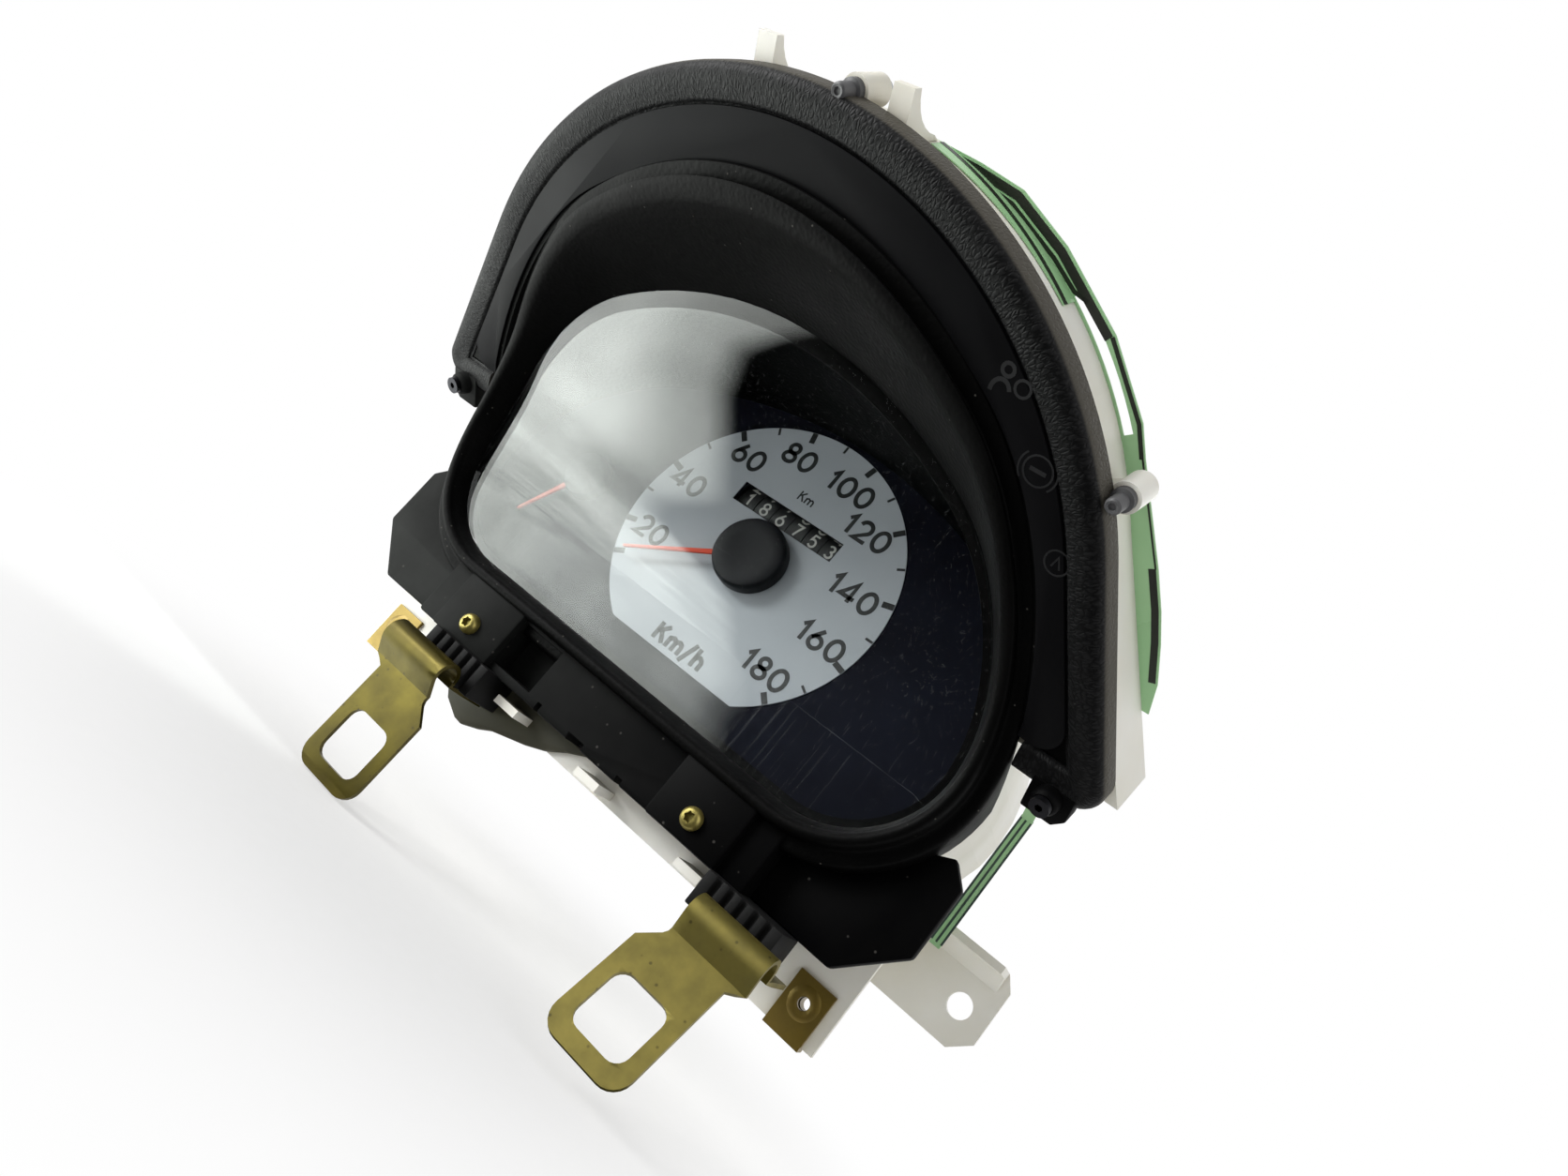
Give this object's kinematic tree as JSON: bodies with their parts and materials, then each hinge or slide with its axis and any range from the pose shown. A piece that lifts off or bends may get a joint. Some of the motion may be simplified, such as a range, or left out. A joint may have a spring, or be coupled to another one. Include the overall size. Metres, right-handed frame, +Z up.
{
  "type": "speedometer instrument cluster",
  "caption": "Hooded car instrument cluster with a round speedometer and odometer, a small fuel gauge, a leaning telltale arch, clear lens, ivory rear case and steel brackets.",
  "frame": {"origin": "midway between the two foot holes, on the feet's back face", "axes": "+Y along the spindle from the dial to the cable inlet, so the dial faces -Y; +Z up; +X to the reader's right"},
  "size_m": [0.234, 0.1775, 0.1921],
  "materials": {
    "black_plastic": "grained",
    "crescent_plastic": "satin",
    "clear_lens": "polished",
    "dial_blue_black": "satin",
    "dial_print": "matte",
    "pointer_orange": "semi-gloss",
    "cap_black": "satin",
    "steel": "turned",
    "cup_aluminium": "plain",
    "spring_bronze": "plain",
    "magnet_ferrite": "matte",
    "frame_casting": "cast",
    "gear_brass": "plain",
    "gear_nylon": "plain",
    "drum_black": "matte",
    "ivory_plastic": "satin",
    "film_green": "gloss",
    "lamp_glass": "clear",
    "zinc_steel": "yellow zinc plated",
    "block_rubber": "matte",
    "nut_steel": "bronzed spring steel"
  },
  "bodies": {
    "cluster": {"front_bezel": "black_plastic", "telltale_crescent": "crescent_plastic", "lens": "clear_lens", "dial_plate": "dial_blue_black", "dial_face": "dial_print", "hairspring": "spring_bronze", "speedo_frame": "frame_casting", "drum_axle": "steel", "cable_inlet": "ivory_plastic", "fuel_movement": "gear_nylon", "rear_case": "ivory_plastic", "flex_circuit": "film_green", "bulb_holders": "cap_black", "bulbs": "lamp_glass", "plug_tongues": "ivory_plastic", "left_bracket": "zinc_steel", "right_bracket": "zinc_steel", "left_block": "block_rubber", "right_block": "block_rubber", "strip_screws": "zinc_steel", "corner_screws": "steel", "clip_nuts": "nut_steel", "post_screws": "steel"},
    "speed_hand": {"speed_pointer": "pointer_orange", "pointer_cap": "cap_black", "pointer_spindle": "steel", "drag_cup": "cup_aluminium"},
    "drive": {"drive_spindle": "steel", "magnet": "magnet_ferrite"},
    "cross_shaft_body": {"cross_shaft": "gear_brass"},
    "idler": {"idler_gear": "gear_nylon"},
    "fuel_hand": {"fuel_pointer": "pointer_orange", "fuel_cap": "cap_black", "fuel_spindle": "steel"},
    "drum_1": {"odometer_drum_1": "drum_black"},
    "drum_2": {"odometer_drum_2": "drum_black"},
    "drum_3": {"odometer_drum_3": "drum_black"},
    "drum_4": {"odometer_drum_4": "drum_black"},
    "drum_5": {"odometer_drum_5": "drum_black"},
    "drum_6": {"odometer_drum_6": "drum_black"}
  },
  "joints": [
    {"name": "speed_swing", "type": "hinge", "parent": "cluster", "child": "speed_hand", "pos_m": [0, -0.046, 0.0576], "axis": [0, 1, 0], "range_deg": [0, 255], "stiffness_Nm_per_rad": 0.0002, "springref_deg": -11.46},
    {"name": "fuel_swing", "type": "hinge", "parent": "cluster", "child": "fuel_hand", "pos_m": [-0.06, -0.046, 0.0491], "axis": [0, 1, 0], "range_deg": [0, 85], "stiffness_Nm_per_rad": 0.00005, "springref_deg": -11.46},
    {"name": "drive_spin", "type": "hinge", "parent": "cluster", "child": "drive", "pos_m": [0, -0.046, 0.0576], "axis": [0, 1, 0], "continuous": true},
    {"name": "cross_spin", "type": "hinge", "parent": "cluster", "child": "cross_shaft_body", "pos_m": [0, -0.012, 0.0666], "axis": [1, 0, 0], "continuous": true},
    {"name": "idler_spin", "type": "hinge", "parent": "cluster", "child": "idler", "pos_m": [0, -0.02133, 0.06894], "axis": [1, 0, 0], "continuous": true},
    {"name": "drum_1_spin", "type": "hinge", "parent": "cluster", "child": "drum_1", "pos_m": [0, -0.0355, 0.0725], "axis": [1, 0, 0], "continuous": true},
    {"name": "drum_2_spin", "type": "hinge", "parent": "cluster", "child": "drum_2", "pos_m": [0, -0.0355, 0.0725], "axis": [1, 0, 0], "continuous": true},
    {"name": "drum_3_spin", "type": "hinge", "parent": "cluster", "child": "drum_3", "pos_m": [0, -0.0355, 0.0725], "axis": [1, 0, 0], "continuous": true},
    {"name": "drum_4_spin", "type": "hinge", "parent": "cluster", "child": "drum_4", "pos_m": [0, -0.0355, 0.0725], "axis": [1, 0, 0], "continuous": true},
    {"name": "drum_5_spin", "type": "hinge", "parent": "cluster", "child": "drum_5", "pos_m": [0, -0.0355, 0.0725], "axis": [1, 0, 0], "continuous": true},
    {"name": "drum_6_spin", "type": "hinge", "parent": "cluster", "child": "drum_6", "pos_m": [0, -0.0355, 0.0725], "axis": [1, 0, 0], "continuous": true}
  ],
  "couplings": [
    {"joint": "cross_spin", "follows": "drive_spin", "ratio": 0.0625},
    {"joint": "idler_spin", "follows": "drive_spin", "ratio": -0.046875},
    {"joint": "drum_1_spin", "follows": "drive_spin", "ratio": 0.00000027778},
    {"joint": "drum_2_spin", "follows": "drive_spin", "ratio": 0.0000027778},
    {"joint": "drum_3_spin", "follows": "drive_spin", "ratio": 0.000027778},
    {"joint": "drum_4_spin", "follows": "drive_spin", "ratio": 0.00027778},
    {"joint": "drum_5_spin", "follows": "drive_spin", "ratio": 0.0027778},
    {"joint": "drum_6_spin", "follows": "drive_spin", "ratio": 0.027778}
  ]
}
